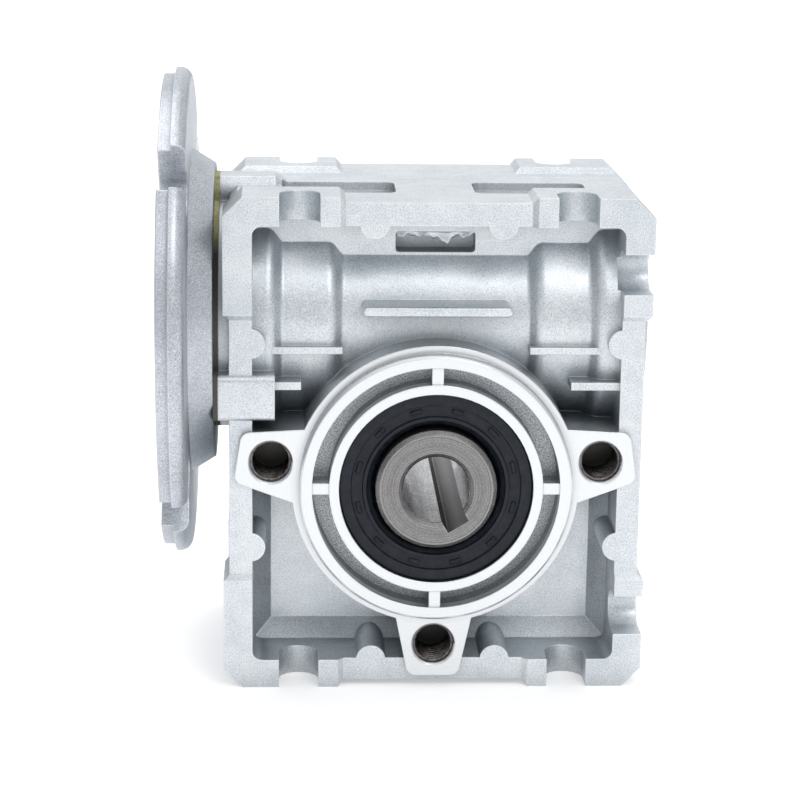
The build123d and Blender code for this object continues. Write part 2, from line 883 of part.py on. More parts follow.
def tooth_section(turn):
    """Outline of one wheel tooth at the top of the wheel, turned by an angle in radians."""
    base_radius = wheel_pitch_radius * math.cos(math.radians(pressure_angle))
    half_tooth = math.pi / wheel_teeth / 2 - backlash / 2 / wheel_pitch_radius
    at_pitch = involute_point(base_radius, wheel_pitch_radius)
    flank_foot = max(base_radius, wheel_root_radius)
    radii = (flank_foot, (flank_foot + wheel_outer_radius) / 2, wheel_outer_radius)
    angles = [half_tooth + at_pitch - involute_point(base_radius, r) for r in radii]
    foot_radius = wheel_root_radius - wheel_tooth_foot_sink

    def side(sign):
        """Foot and flank points on one side of the tooth."""
        turns = [90 + math.degrees(turn + sign * angle) for angle in angles]
        points = [polar(radius, at) for radius, at in zip(radii, turns)]
        return polar(foot_radius, turns[0]), points

    right_foot, right = side(-1)
    left_foot, left = side(1)
    left.reverse()
    return make_face(
        [
            Line(right_foot, right[0]),
            Spline(*right),
            Line(right[-1], left[0]),
            Spline(*left),
            Line(left[-1], left_foot),
            Line(left_foot, right_foot),
        ]
    )


def wheel_rim():
    """Bronze rim of the worm wheel: thirty slanted teeth with a hollowed throat."""
    half = wheel_face_width / 2
    slant = lead / (2 * math.pi * worm_pitch_radius)
    twist = half * slant / wheel_pitch_radius
    front = Plane.XZ.offset(half) * tooth_section(twist)
    rear = Plane.XZ.offset(-half) * tooth_section(-twist)
    tooth = loft([rear, front], ruled=True)
    throat = Pos(worm_z, 0) * Circle(worm_root_radius + tooth_root_clearance)
    chamfer_radius = wheel_outer_radius - wheel_rim_chamfer
    chamfer_y = half - wheel_rim_chamfer
    chamfers = [
        (wheel_outer_radius + 1, half + 1),
        (chamfer_radius, half + 1),
        (chamfer_radius, half),
        (wheel_outer_radius, chamfer_y),
        (wheel_outer_radius + 1, chamfer_y),
    ]
    edge = revolve(polygon(chamfers), axis=Axis.Y)
    tooth = tooth - revolve(throat, axis=Axis.Y) - both_sides(edge)
    ring = along_y(Circle(wheel_root_radius) - Circle(wheel_hub_radius), half, -half)
    teeth = [Rot(0, 360 * index / wheel_teeth, 0) * tooth for index in range(wheel_teeth)]
    return ring.fuse(*teeth)


def worm_thread():
    """Helical thread of the worm on the Z axis, with a whole even count of turns."""
    addendum = worm_tip_radius - worm_pitch_radius
    dedendum = worm_pitch_radius - worm_root_radius + worm_thread_sink
    slope = math.tan(math.radians(pressure_angle))
    half_pitch_width = lead / 4 - backlash / 4
    tip_half = half_pitch_width - addendum * slope
    foot_half = half_pitch_width + dedendum * slope
    foot_radius = worm_pitch_radius - dedendum
    turns = 2 * math.ceil((worm_thread_length / lead + 1) / 2)
    length = turns * lead
    path = Helix(pitch=lead, height=length, radius=worm_pitch_radius)
    section = polygon(
        [
            (foot_radius, -foot_half),
            (worm_tip_radius, -tip_half),
            (worm_tip_radius, tip_half),
            (foot_radius, foot_half),
        ]
    )
    return sweep(Plane.XZ * section, path=path, is_frenet=True), length


def worm_shaft():
    """Worm and hollow input shaft in one piece, with a keyed blind bore."""
    journal = input_bearing_bore / 2
    end_journal = end_bearing_bore / 2
    thread_half = worm_thread_length / 2
    shoulder_in = worm_shoulder_x - worm_shoulder_length
    tail_x = end_bearing_end_x + worm_tail_length
    bore = input_bore / 2
    bore_end = worm_shaft_front_x + input_bore_depth
    edge = worm_shaft_chamfer
    body = turned_on_worm(
        [
            (worm_shaft_front_x, 0),
            (worm_shaft_front_x, journal - edge),
            (worm_shaft_front_x + edge, journal),
            (-worm_shoulder_x, journal),
            (-worm_shoulder_x, worm_shoulder_radius),
            (-shoulder_in, worm_shoulder_radius),
            (-shoulder_in, worm_neck_radius),
            (-thread_half, worm_neck_radius),
            (-thread_half, worm_root_radius),
            (thread_half, worm_root_radius),
            (thread_half, worm_neck_radius),
            (shoulder_in, worm_neck_radius),
            (shoulder_in, worm_end_shoulder_radius),
            (worm_shoulder_x, worm_end_shoulder_radius),
            (worm_shoulder_x, end_journal),
            (tail_x - edge, end_journal),
            (tail_x, end_journal - edge),
            (tail_x, 0),
        ]
    )
    thread, length = worm_thread()
    lying = Pos(0, 0, worm_z) * Rot(0, 90, 0) * Rot(0, 0, 180) * Pos(0, 0, -length / 2) * thread
    fade_start = thread_half - worm_thread_end_gap
    fade_radius = worm_root_radius - 2 * worm_thread_sink
    runout = worm_tip_radius - fade_radius
    beyond = turned_on_worm(
        [
            (fade_start, 0),
            (fade_start, fade_radius),
            (fade_start - runout, worm_tip_radius),
            (fade_start - runout, worm_tip_radius + 1),
            (length, worm_tip_radius + 1),
            (length, 0),
        ]
    )
    body += lying - beyond - mirror(beyond, about=Plane.YZ)
    body -= turned_on_worm(
        [
            (worm_shaft_front_x - 1, 0),
            (worm_shaft_front_x - 1, bore + input_bore_chamfer + 1),
            (worm_shaft_front_x + input_bore_chamfer, bore),
            (bore_end, bore),
            (bore_end + bore / 2, 0),
        ]
    )
    keyway = Pos(0, worm_z) * Rot(0, 0, 90) * key_slot(bore, input_key_depth, input_key_width)
    return body - along_x(keyway, worm_shaft_front_x - 1, worm_shaft_front_x + input_key_length)


def bearing(bore, outer, width, ball, count):
    """Deep-groove ball bearing about the Y axis: two races, balls and cage."""
    pitch_radius = (bore + outer) / 4
    ball_radius = ball / 2
    land = bearing_land * ball_radius
    groove = Pos(pitch_radius, 0) * Circle(ball_radius + running_fit)

    def race(inner_radius, outer_radius):
        middle = (inner_radius + outer_radius) / 2
        section = Pos(middle, 0) * Rectangle(outer_radius - inner_radius, width)
        section = chamfer(section.vertices(), bearing_edge)
        return revolve(section - groove, axis=Axis.Y)

    outer_race = race(pitch_radius + land, outer / 2)
    inner_race = race(bore / 2, pitch_radius - land)
    places = [polar(pitch_radius, 360 * i / count + 90) for i in range(count)]
    balls = [Pos(x, 0, z) * Sphere(ball_radius) for x, z in places]
    cage_width = 2 * (ball_radius + cage_side)
    cage_section = Pos(pitch_radius, 0) * Rectangle(cage_thickness * ball_radius, cage_width)
    cage = revolve(cage_section, axis=Axis.Y)
    for x, z in places:
        cage -= Pos(x, 0, z) * Sphere(ball_radius + 2 * running_fit)
    return {"outer_race": outer_race, "inner_race": inner_race, "balls": balls, "cage": cage}


def placed(pieces, place):
    """The pieces of a bearing, moved to their place."""
    moved = {}
    for name, shape in pieces.items():
        if isinstance(shape, list):
            moved[name] = [place * item for item in shape]
        else:
            moved[name] = place * shape
    return moved


def lip_seal(shaft_radius, outer, width):
    """Rubber shaft seal about the Y axis, its outer face at y = 0 and its body behind."""
    rim = outer / 2
    bead = rim - seal_bead
    lip = shaft_radius + seal_lip_gap
    throat = shaft_radius + seal_throat
    ring = throat + seal_throat_ring
    return turned_on_y(
        [
            (rim, seal_edge),
            (rim, width),
            (rim - seal_wall, width),
            (rim - seal_wall, seal_floor),
            (ring, seal_floor),
            (throat + seal_slope, seal_lip_back),
            (lip + seal_lip_thickness, seal_lip_back),
            (lip, seal_lip_high),
            (lip, seal_lip_low),
            (lip + seal_throat_ring, seal_guard_depth),
            (throat, seal_step),
            (throat + seal_slope, 0),
            (ring, 0),
            (ring + seal_slope, seal_step),
            (bead - seal_slope, seal_step),
            (bead, 0),
            (rim - seal_edge, 0),
        ]
    )


def circlip(seat_radius):
    """Internal circlip about the Y axis, from y = 0 inwards, open at the top."""
    outer = seat_radius + circlip_groove_depth - circlip_play
    inner = outer - circlip_ring_width
    sketch = Circle(outer) - Circle(inner)
    x, z = polar(2 * outer, 90 - circlip_gap_angle / 2)
    sketch -= polygon([(0, 0), (x, z), (-x, z)])
    lug_turn = circlip_gap_angle / 2 + circlip_lug_angle
    lugs = [Pos(*polar(inner, 90 + turn)) for turn in (-lug_turn, lug_turn)]
    for place in lugs:
        sketch += place * Circle(circlip_lug_radius)
    for place in lugs:
        sketch -= place * Circle(circlip_lug_hole)
    return along_y(sketch, circlip_thickness - circlip_play, circlip_play)


def end_cap():
    """Rubber-coated cap that closes the far end of the worm tube."""
    radius = end_bearing_outer / 2 - cap_fit
    rim = radius - end_cap_wall
    outer_x = end_cap_x + end_cap_width
    dish_x = outer_x - end_cap_dish
    edge = end_cap_edge
    return turned_on_worm(
        [
            (end_cap_x, radius - edge),
            (end_cap_x + edge, radius),
            (outer_x - edge, radius),
            (outer_x, radius - edge),
            (outer_x, rim + end_cap_dish),
            (dish_x, rim),
            (dish_x, 0),
            (dish_x - end_cap_wall, 0),
            (dish_x - end_cap_wall, rim),
            (end_cap_x, rim),
        ]
    )


def flange_slot():
    """Open slot of the motor flange along +x from its nominal circle, flared at the rim."""
    half = flange_slot_width / 2
    flare_start = flange_slot_circle + half
    slot = Pos(flange_slot_circle, 0) * Circle(half)
    slot += polygon(
        [
            (flange_slot_circle, -half),
            (flare_start, -half),
            (flange_radius + 1, -flange_slot_mouth / 2),
            (flange_radius + 1, flange_slot_mouth / 2),
            (flare_start, half),
            (flange_slot_circle, half),
        ]
    )
    return slot


def motor_flange():
    """Round motor flange with a pilot recess, open slots and a coned hub."""
    pilot_floor = flange_face_x + motor_pilot_depth
    spigot = input_bearing_outer / 2 - cap_fit
    layer_x = flange_face_x + flange_face_layer
    disc = turned_on_worm(
        [
            (flange_face_x, motor_pilot_radius),
            (flange_face_x, flange_face_radius),
            (layer_x, flange_face_radius),
            (layer_x, flange_radius),
            (flange_back_x, flange_radius),
            (flange_back_x, flange_hub_radius),
            (flange_hub_end_x, flange_hub_end_radius),
            (flange_hub_end_x, spigot),
            (flange_spigot_x, spigot),
            (flange_spigot_x, flange_bore_radius),
            (pilot_floor, flange_bore_radius),
            (pilot_floor, motor_pilot_radius),
        ]
    )
    turns = [flange_slot_angle + 360 * i / flange_slot_count for i in range(flange_slot_count)]
    slots = joined([Rot(0, 0, turn) * flange_slot() for turn in turns])
    disc -= along_x(Pos(0, worm_z) * slots, flange_face_x - 1, flange_back_x + 0.01)
    disc = fillet(disc.edges().filter_by(on_rim), flange_rim_round)
    head_floor = pilot_floor + screw_head_room
    for y, z in flange_screw_points():
        hole = Pos(y, z) * Circle(screw_hole_radius)
        pocket = Pos(y, z) * Circle(screw_head_radius + screw_head_clearance)
        disc -= along_x(hole, flange_face_x - 1, flange_hub_end_x + 1)
        disc -= along_x(pocket, flange_face_x - 1, head_floor)
    return disc


def on_rim(edge):
    """Whether an edge lies on the outer corner of the flange's back."""
    centre = edge.center()
    on_back = abs(centre.X - flange_back_x) < 0.01
    middle = edge @ 0.5
    radius = math.hypot(middle.Y, middle.Z - worm_z)
    return on_back and abs(radius - flange_radius) < 0.01


def flange_gasket():
    """Gasket between the worm tube and the hub of the flange."""
    outline = Pos(0, worm_z) * Circle(tube_end_radius)
    outline += top_boss_outline()
    outline += side_boss_outline()
    outline += mirror(side_boss_outline(), about=Plane.YZ)
    outline -= Pos(0, worm_z) * Circle(input_bearing_outer / 2 + gasket_bore_clearance)
    for y, z in flange_screw_points():
        outline -= Pos(y, z) * Circle(screw_hole_radius)
    return along_x(outline, flange_hub_end_x, tube_mouth_x)


def flange_screws():
    """The three screws that hold the motor flange."""
    head_floor = flange_face_x + motor_pilot_depth + screw_head_room
    length = tube_mouth_x - head_floor + flange_screw_depth - flange_screw_end_gap
    screw = Rot(0, -90, 0) * socket_screw(length)
    return [Pos(head_floor, y, z) * screw for y, z in flange_screw_points()]


def build():
    """Every piece by the name of its node."""
    pieces = {
        "housing": housing(),
        "side_cover": side_cover(),
        "cover_o_ring": cover_o_ring(),
        "cover_screws": cover_screws(),
        "output_shaft": output_shaft(),
        "worm_wheel_rim": wheel_rim(),
        "worm_shaft": worm_shaft(),
        "end_cap": end_cap(),
        "motor_flange": motor_flange(),
        "flange_gasket": flange_gasket(),
        "flange_screws": flange_screws(),
    }
    output_bearing = bearing(
        output_bearing_bore,
        output_bearing_outer,
        output_bearing_width,
        output_ball,
        output_ball_count,
    )
    input_bearing = bearing(
        input_bearing_bore, input_bearing_outer, input_bearing_width, input_ball, input_ball_count
    )
    end_bearing = bearing(
        end_bearing_bore, end_bearing_outer, end_bearing_width, end_ball, end_ball_count
    )
    middle_y = hub_half_width + output_bearing_width / 2
    input_x = -worm_shoulder_x - input_bearing_width / 2
    end_x = worm_shoulder_x + end_bearing_width / 2
    lying = Rot(0, 0, -90)
    bearings = {
        "front_bearing": placed(output_bearing, Pos(0, -middle_y, 0)),
        "rear_bearing": placed(output_bearing, Pos(0, middle_y, 0)),
        "input_bearing": placed(input_bearing, Pos(input_x, 0, worm_z) * lying),
        "end_bearing": placed(end_bearing, Pos(end_x, 0, worm_z) * lying),
    }
    for place, races in bearings.items():
        for piece, shape in races.items():
            pieces[f"{place}_{piece}"] = shape
    seal = lip_seal(output_bearing_bore / 2, output_seal_outer, output_seal_width)
    pieces["front_seal"] = Pos(0, -seal_out_y, 0) * seal
    pieces["rear_seal"] = Pos(0, seal_out_y, 0) * Rot(180, 0, 0) * seal
    worm_seal = lip_seal(input_bearing_bore / 2, input_bearing_outer, input_seal_width)
    seal_face_x = -input_seal_x - input_seal_width
    pieces["input_seal"] = Pos(seal_face_x, 0, worm_z) * lying * worm_seal
    input_clip = circlip(input_bearing_outer / 2)
    pieces["input_circlip"] = Pos(-input_circlip_x, 0, worm_z) * lying * input_clip
    end_clip = circlip(end_bearing_outer / 2)
    pieces["end_circlip"] = Pos(end_bearing_end_x, 0, worm_z) * lying * end_clip
    return pieces


def as_solids(shape):
    """A piece, or a group of like pieces, as one shape to write."""
    if isinstance(shape, list):
        return Compound(children=[Solid(item.solid().wrapped) for item in shape])
    return shape


if __name__ == "__main__":
    os.makedirs("parts", exist_ok=True)
    for node, piece in build().items():
        export_step(as_solids(piece), f"parts/{node}.step")
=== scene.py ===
import math

import bmesh
import bpy
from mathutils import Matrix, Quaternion, Vector


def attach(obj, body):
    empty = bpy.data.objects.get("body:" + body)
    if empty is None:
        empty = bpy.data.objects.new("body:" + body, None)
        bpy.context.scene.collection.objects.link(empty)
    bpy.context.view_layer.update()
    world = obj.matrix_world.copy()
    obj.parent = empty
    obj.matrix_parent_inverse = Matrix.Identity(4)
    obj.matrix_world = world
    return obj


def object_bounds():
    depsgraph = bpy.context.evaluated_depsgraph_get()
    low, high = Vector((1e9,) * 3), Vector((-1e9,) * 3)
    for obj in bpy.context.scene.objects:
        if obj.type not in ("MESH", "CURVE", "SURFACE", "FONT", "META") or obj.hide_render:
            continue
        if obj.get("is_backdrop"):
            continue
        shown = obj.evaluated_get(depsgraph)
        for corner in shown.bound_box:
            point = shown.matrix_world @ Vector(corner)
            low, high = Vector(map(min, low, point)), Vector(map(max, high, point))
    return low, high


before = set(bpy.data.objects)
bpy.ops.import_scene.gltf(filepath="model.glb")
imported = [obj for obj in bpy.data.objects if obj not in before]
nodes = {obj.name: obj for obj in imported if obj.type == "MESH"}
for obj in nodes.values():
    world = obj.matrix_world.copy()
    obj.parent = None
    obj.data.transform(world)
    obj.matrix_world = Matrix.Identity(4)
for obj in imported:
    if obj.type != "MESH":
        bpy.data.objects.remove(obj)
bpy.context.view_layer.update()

# Driving sizes of the gearbox, in metres
MM = 0.001
WORM_Z = 25 * MM
FRAME_HALF_DEPTH = 22.5 * MM
SPIGOT_Y = 24.5 * MM
GROOVE_INNER_RADIUS = 17.6 * MM
GROOVE_OUTER_RADIUS = 20.4 * MM
OUTPUT_BORE_RADIUS = 5.5 * MM
INPUT_BORE_RADIUS = 4.5 * MM
FLANGE_FACE_X = -45 * MM
PILOT_RADIUS = 25 * MM
PILOT_DEPTH = 3 * MM
GASKET_BOSS_Z = 40.5 * MM
GASKET_BODY_Z = 37.5 * MM
EAR_REACH = 33.2 * MM
EAR_CIRCLE = 27.5 * MM
EAR_ANGLES = {"right": 8.5, "left": 171.5, "bottom": -90.0}
EAR_HOLE_RADIUS = 3.4 * MM
EAR_HOLE_DEPTH = 9.6 * MM

# Turns of thread in the ear holes
THREAD_PITCH = 1.0 * MM
THREAD_DEPTH = 0.5 * MM
THREAD_STEPS = 40
THREAD_INSET = 0.5 * MM
THREAD_RUNOUT = 1.2 * MM
THREAD_ROOT_SHARE = 0.46
THREAD_CREST_SHARE = 0.06

# Torn flash in the window of the top wall
WINDOW_HALF_WIDTH = 6.5 * MM
WINDOW_TOP_Z = 40.6 * MM
FLASH_FRONT_Y = 11.3 * MM
FLASH_THICKNESS = 0.18 * MM
FLASH_COLUMNS = 48
FLASH_ROWS = 5

# Small bars on the face of the output seals
SEAL_FACE_Y = 23.7 * MM
BAR_COUNT = 12
BAR_HALF_ANGLE = math.radians(4.2)
BAR_INNER_RADIUS = 12.75 * MM
BAR_OUTER_RADIUS = 13.55 * MM
BAR_FLOOR_Y = SEAL_FACE_Y - 0.52 * MM
BAR_TOP_Y = SEAL_FACE_Y - 0.22 * MM
BAR_DRAFT = 0.08 * MM

# How far a finish's mask reaches past the face that it covers
MARGIN = 0.05 * MM
FACE_MARGIN = 0.15 * MM
FLANGE_MARGIN = 0.2 * MM
HOLE_MARGIN = 0.1 * MM

# The photograph's camera
CAMERA_PLACE = Vector((-24.5, -411.2, 110.5)) * MM
CAMERA_TARGET = Vector((-5.0, 0.0, 9.1)) * MM
CAMERA_ROLL = math.radians(0.73)
CAMERA_LENS = 110.4
SENSOR_WIDTH = 36.0

# The studio
FLOOR_HALF_WIDTH = 4.0
FLOOR_GLOW = 0.3
HORIZON_COLOUR = (0.38, 0.39, 0.405, 1)
ZENITH_COLOUR = (0.72, 0.725, 0.73, 1)
SURROUND_STRENGTH = 1.4


class Finish:
    """One material's node tree, with short names for the nodes that the finishes share."""

    def __init__(self, name, metallic=0.0, roughness=0.5):
        self.material = bpy.data.materials.new(name)
        self.material.use_nodes = True
        self.tree = self.material.node_tree
        self.shader = self.tree.nodes["Principled BSDF"]
        self.shader.inputs["Metallic"].default_value = metallic
        self.shader.inputs["Roughness"].default_value = roughness
        self.place = self.node("ShaderNodeTexCoord").outputs["Object"]
        self.axes = self.node("ShaderNodeSeparateXYZ")
        self.join(self.place, self.axes.inputs[0])
        self.x, self.y, self.z = self.axes.outputs

    def node(self, kind, **settings):
        made = self.tree.nodes.new(kind)
        for key, value in settings.items():
            setattr(made, key, value)
        return made

    def join(self, source, target):
        self.tree.links.new(source, target)

    def feed(self, socket, value):
        """Links an output to a socket, or sets the socket to a number."""
        if isinstance(value, (int, float)):
            socket.default_value = value
        else:
            self.join(value, socket)

    def maths(self, operation, first, second=0.0):
        made = self.node("ShaderNodeMath", operation=operation)
        for socket, value in zip(made.inputs, (first, second)):
            self.feed(socket, value)
        return made.outputs[0]

    def times(self, first, second):
        return self.maths("MULTIPLY", first, second)

    def blend(self, parts):
        """Weighted sum of (output, weight) pairs."""
        total = None
        for value, weight in parts:
            part = self.times(value, weight)
            total = part if total is None else self.maths("ADD", total, part)
        return total

    def length(self, first, second):
        """Length of the vector with these two components."""
        squares = self.maths("ADD", self.maths("POWER", first, 2), self.maths("POWER", second, 2))
        return self.maths("SQRT", squares)

    def noise(self, scale, detail=3.0, roughness=0.55, stretch=None):
        made = self.node("ShaderNodeTexNoise")
        made.inputs["Scale"].default_value = scale
        made.inputs["Detail"].default_value = detail
        made.inputs["Roughness"].default_value = roughness
        source = self.place
        if stretch:
            scaled = self.node("ShaderNodeMapping")
            scaled.inputs["Scale"].default_value = stretch
            self.join(source, scaled.inputs["Vector"])
            source = scaled.outputs[0]
        self.join(source, made.inputs["Vector"])
        return made.outputs["Fac"]

    def ramp(self, value, low, high, start=0.0, end=1.0):
        """Maps low..high onto start..end and clamps."""
        made = self.node("ShaderNodeMapRange")
        self.feed(made.inputs["Value"], value)
        made.inputs["From Min"].default_value = low
        made.inputs["From Max"].default_value = high
        made.inputs["To Min"].default_value = start
        made.inputs["To Max"].default_value = end
        return made.outputs["Result"]

    def mix(self, factor, first, second):
        """Blends two colours, each an output or an (r, g, b) tuple."""
        made = self.node("ShaderNodeMix", data_type="RGBA")
        self.feed(made.inputs["Factor"], factor)
        for socket, value in ((made.inputs[6], first), (made.inputs[7], second)):
            if isinstance(value, tuple):
                socket.default_value = (*value, 1)
            else:
                self.join(value, socket)
        return made.outputs[2]

    def colour(self, value):
        self.join(value, self.shader.inputs["Base Color"])

    def roughness(self, value):
        self.join(value, self.shader.inputs["Roughness"])

    def bump(self, height, distance, strength=1.0, below=None):
        """A bump layer, over the rounded edges or over another bump."""
        made = self.node("ShaderNodeBump")
        made.inputs["Distance"].default_value = distance
        self.feed(made.inputs["Strength"], strength)
        self.join(height, made.inputs["Height"])
        if below is not None:
            self.join(below, made.inputs["Normal"])
        self.join(made.outputs[0], self.shader.inputs["Normal"])
        return made.outputs[0]

    def rounded(self, radius):
        """Normal that rounds the edges off by a radius."""
        made = self.node("ShaderNodeBevel", samples=6)
        made.inputs["Radius"].default_value = radius
        self.join(made.outputs[0], self.shader.inputs["Normal"])
        return made.outputs[0]

    def edge(self, radius):
        """How near a sharp edge a point lies: 0 on a flat face, up to 1 on the edge."""
        soft = self.node("ShaderNodeBevel", samples=6)
        soft.inputs["Radius"].default_value = radius
        flat = self.node("ShaderNodeNewGeometry")
        dot = self.node("ShaderNodeVectorMath", operation="DOT_PRODUCT")
        self.join(soft.outputs[0], dot.inputs[0])
        self.join(flat.outputs["Normal"], dot.inputs[1])
        return self.ramp(dot.outputs["Value"], 0.995, 0.8)

    def painted_corner_shade(self, distance):
        """Painted shade mask: 1 in tight corners, 0 in the open."""
        made = self.node("ShaderNodeAmbientOcclusion", samples=6, only_local=False)
        made.inputs["Distance"].default_value = distance
        return self.ramp(made.outputs["AO"], 0.85, 0.25)

    def radius_y(self):
        """Distance from the output axis."""
        return self.length(self.x, self.z)

    def radius_worm(self):
        """Distance from the worm axis."""
        return self.length(self.y, self.maths("SUBTRACT", self.z, WORM_Z))

    def rings(self, radius, scale):
        """Fine concentric lines, as a turning tool leaves them."""
        place = self.node("ShaderNodeCombineXYZ")
        self.join(radius, place.inputs[0])
        made = self.node("ShaderNodeTexNoise")
        made.inputs["Scale"].default_value = scale
        made.inputs["Detail"].default_value = 4
        self.join(place.outputs[0], made.inputs["Vector"])
        return made.outputs["Fac"]


def shade(colour, share):
    """The same hue at a share of its brightness."""
    return tuple(share * value for value in colour)


def cast_surface(finish, light, dark, wear_and_highlight):
    """Shot-blasted casting: fine grain, soft clouds, painted sparkle, edges lighter with wear and painted
    highlight, and painted shade in the corners.
    """
    clouds = finish.noise(90, detail=4)
    patches = finish.noise(420, detail=3)
    grain = finish.noise(4000, detail=2, roughness=0.6)
    sparkle = finish.noise(5200, detail=1, roughness=0.5)
    tone = finish.blend(((clouds, 0.3), (patches, 0.2), (grain, 0.5)))
    colour = finish.mix(finish.ramp(tone, 0.42, 0.58), dark, light)
    pits = finish.ramp(grain, 0.46, 0.36, 0.0, 0.4)
    colour = finish.mix(pits, colour, shade(dark, 0.62))
    # Painted sparkle: specks lightened as if the grain's facets caught the light.
    painted_glints = finish.ramp(sparkle, 0.55, 0.67, 0.0, 0.65)
    colour = finish.mix(painted_glints, colour, wear_and_highlight)
    # Edges lightened: part wear, part painted highlight.
    colour = finish.mix(finish.times(finish.edge(0.5 * MM), 0.6), colour, wear_and_highlight)
    # Painted shade: corners darkened where shade would fall.
    colour = finish.mix(finish.times(finish.painted_corner_shade(6 * MM), 0.5), colour, shade(dark, 0.3))
    return colour, grain, patches


def casting(name, light, dark, wear_and_highlight, turned, machined_faces):
    """Cast aluminium with machined faces where the mask says so."""
    finish = Finish(name, metallic=1.0, roughness=0.42)
    colour, grain, patches = cast_surface(finish, light, dark, wear_and_highlight)
    mask, radius = machined_faces(finish)
    grit = finish.ramp(finish.noise(4400, detail=2, roughness=0.7), 0.4, 0.6)
    # The groove's floor: grainy, and darker as painted shade.
    blasted = finish.mix(grit, (0.17, 0.175, 0.185), (0.62, 0.63, 0.65))
    colour = finish.mix(shaded_groove(finish, radius), colour, blasted)
    # Painted shade inside the tapped ear holes.
    colour = finish.mix(ear_hole_shade(finish), colour, (0.11, 0.105, 0.10))
    lines = finish.rings(radius, 9000)
    bright = finish.mix(finish.ramp(lines, 0.35, 0.65), *turned)
    # Painted shade in the corners of the machined faces.
    corners = finish.times(finish.painted_corner_shade(2.5 * MM), 0.65)
    bright = finish.mix(corners, bright, (0.2, 0.21, 0.225))
    finish.colour(finish.mix(mask, colour, bright))
    cast_rough = finish.ramp(grain, 0.3, 0.7, 0.36, 0.52)
    turned_rough = finish.ramp(lines, 0.3, 0.7, 0.24, 0.38)
    rough = finish.node("ShaderNodeMix", data_type="FLOAT")
    finish.join(mask, rough.inputs[0])
    finish.join(cast_rough, rough.inputs[2])
    finish.join(turned_rough, rough.inputs[3])
    finish.roughness(rough.outputs[0])
    normal = finish.rounded(0.3 * MM)
    unmachined = finish.maths("SUBTRACT", 1.0, mask)
    normal = finish.bump(patches, 0.05 * MM, finish.times(unmachined, 0.5), normal)
    normal = finish.bump(grain, 0.035 * MM, finish.times(unmachined, 0.75), normal)
    finish.bump(lines, 0.008 * MM, finish.times(mask, 0.6), normal)
    return finish.material


def shaded_groove(finish, radius):
    """Mask of the spigot's groove, whose grainy floor is painted darker as shade."""
    depth = finish.maths("ABSOLUTE", finish.y)
    beyond = finish.maths("GREATER_THAN", radius, GROOVE_INNER_RADIUS - MARGIN)
    within = finish.maths("LESS_THAN", radius, GROOVE_OUTER_RADIUS + MARGIN)
    sunk = finish.ramp(depth, SPIGOT_Y - 0.6 * MM, SPIGOT_Y - 2.5 * MM)
    deep = finish.maths("GREATER_THAN", depth, SPIGOT_Y - 6 * MM)
    mask = finish.times(finish.times(beyond, within), finish.times(sunk, deep))
    return finish.times(mask, 0.8)


def ear_hole_shade(finish):
    """Mask of the walls and floors of the tapped ear holes, painted dark as shade."""
    nearest = 1.0
    for degrees in EAR_ANGLES.values():
        turn = math.radians(degrees)
        across = finish.maths("SUBTRACT", finish.x, EAR_CIRCLE * math.cos(turn))
        above = finish.maths("SUBTRACT", finish.z, EAR_CIRCLE * math.sin(turn))
        nearest = finish.maths("MINIMUM", nearest, finish.length(across, above))
    inside = finish.maths("LESS_THAN", nearest, EAR_HOLE_RADIUS + HOLE_MARGIN)
    depth = finish.maths("ABSOLUTE", finish.y)
    sunk = finish.ramp(depth, FRAME_HALF_DEPTH - 0.3 * MM, FRAME_HALF_DEPTH - 1.5 * MM)
    return finish.times(inside, sunk)


def housing_faces(finish):
    """Mask of the faced surfaces round the output shaft, and their turning radius."""
    radius = finish.radius_y()
    depth = finish.maths("ABSOLUTE", finish.y)
    facing = finish.maths("GREATER_THAN", depth, FRAME_HALF_DEPTH - FACE_MARGIN)
    inside = finish.maths("LESS_THAN", radius, EAR_REACH)
    return finish.times(facing, inside), radius


def flange_faces(finish):
    """Mask of the turned motor face and pilot, and their turning radius."""
    radius = finish.radius_worm()
    face = finish.maths("LESS_THAN", finish.x, FLANGE_FACE_X + FLANGE_MARGIN)
    round_pilot = finish.maths("LESS_THAN", radius, PILOT_RADIUS + FLANGE_MARGIN)
    pilot_depth = finish.maths("LESS_THAN", finish.x, FLANGE_FACE_X + PILOT_DEPTH + FLANGE_MARGIN)
    return finish.maths("MAXIMUM", face, finish.times(round_pilot, pilot_depth)), radius


def cast_aluminium():
    return casting(
        "cast_aluminium",
        light=(0.74, 0.77, 0.79),
        dark=(0.565, 0.605, 0.64),
        wear_and_highlight=(0.92, 0.94, 0.96),
        turned=((0.70, 0.715, 0.73), (0.82, 0.835, 0.845)),
        machined_faces=housing_faces,
    )


def flange_aluminium():
    # A darker, bluer copy of the housing's aluminium: the darkening is painted shade, which keeps the
    # flange's faces from burning out under the lights.
    return casting(
        "flange_aluminium",
        light=(0.58, 0.605, 0.65),
        dark=(0.43, 0.455, 0.495),
        wear_and_highlight=(0.84, 0.86, 0.90),
        turned=((0.48, 0.49, 0.505), (0.60, 0.61, 0.625)),
        machined_faces=flange_faces,
    )


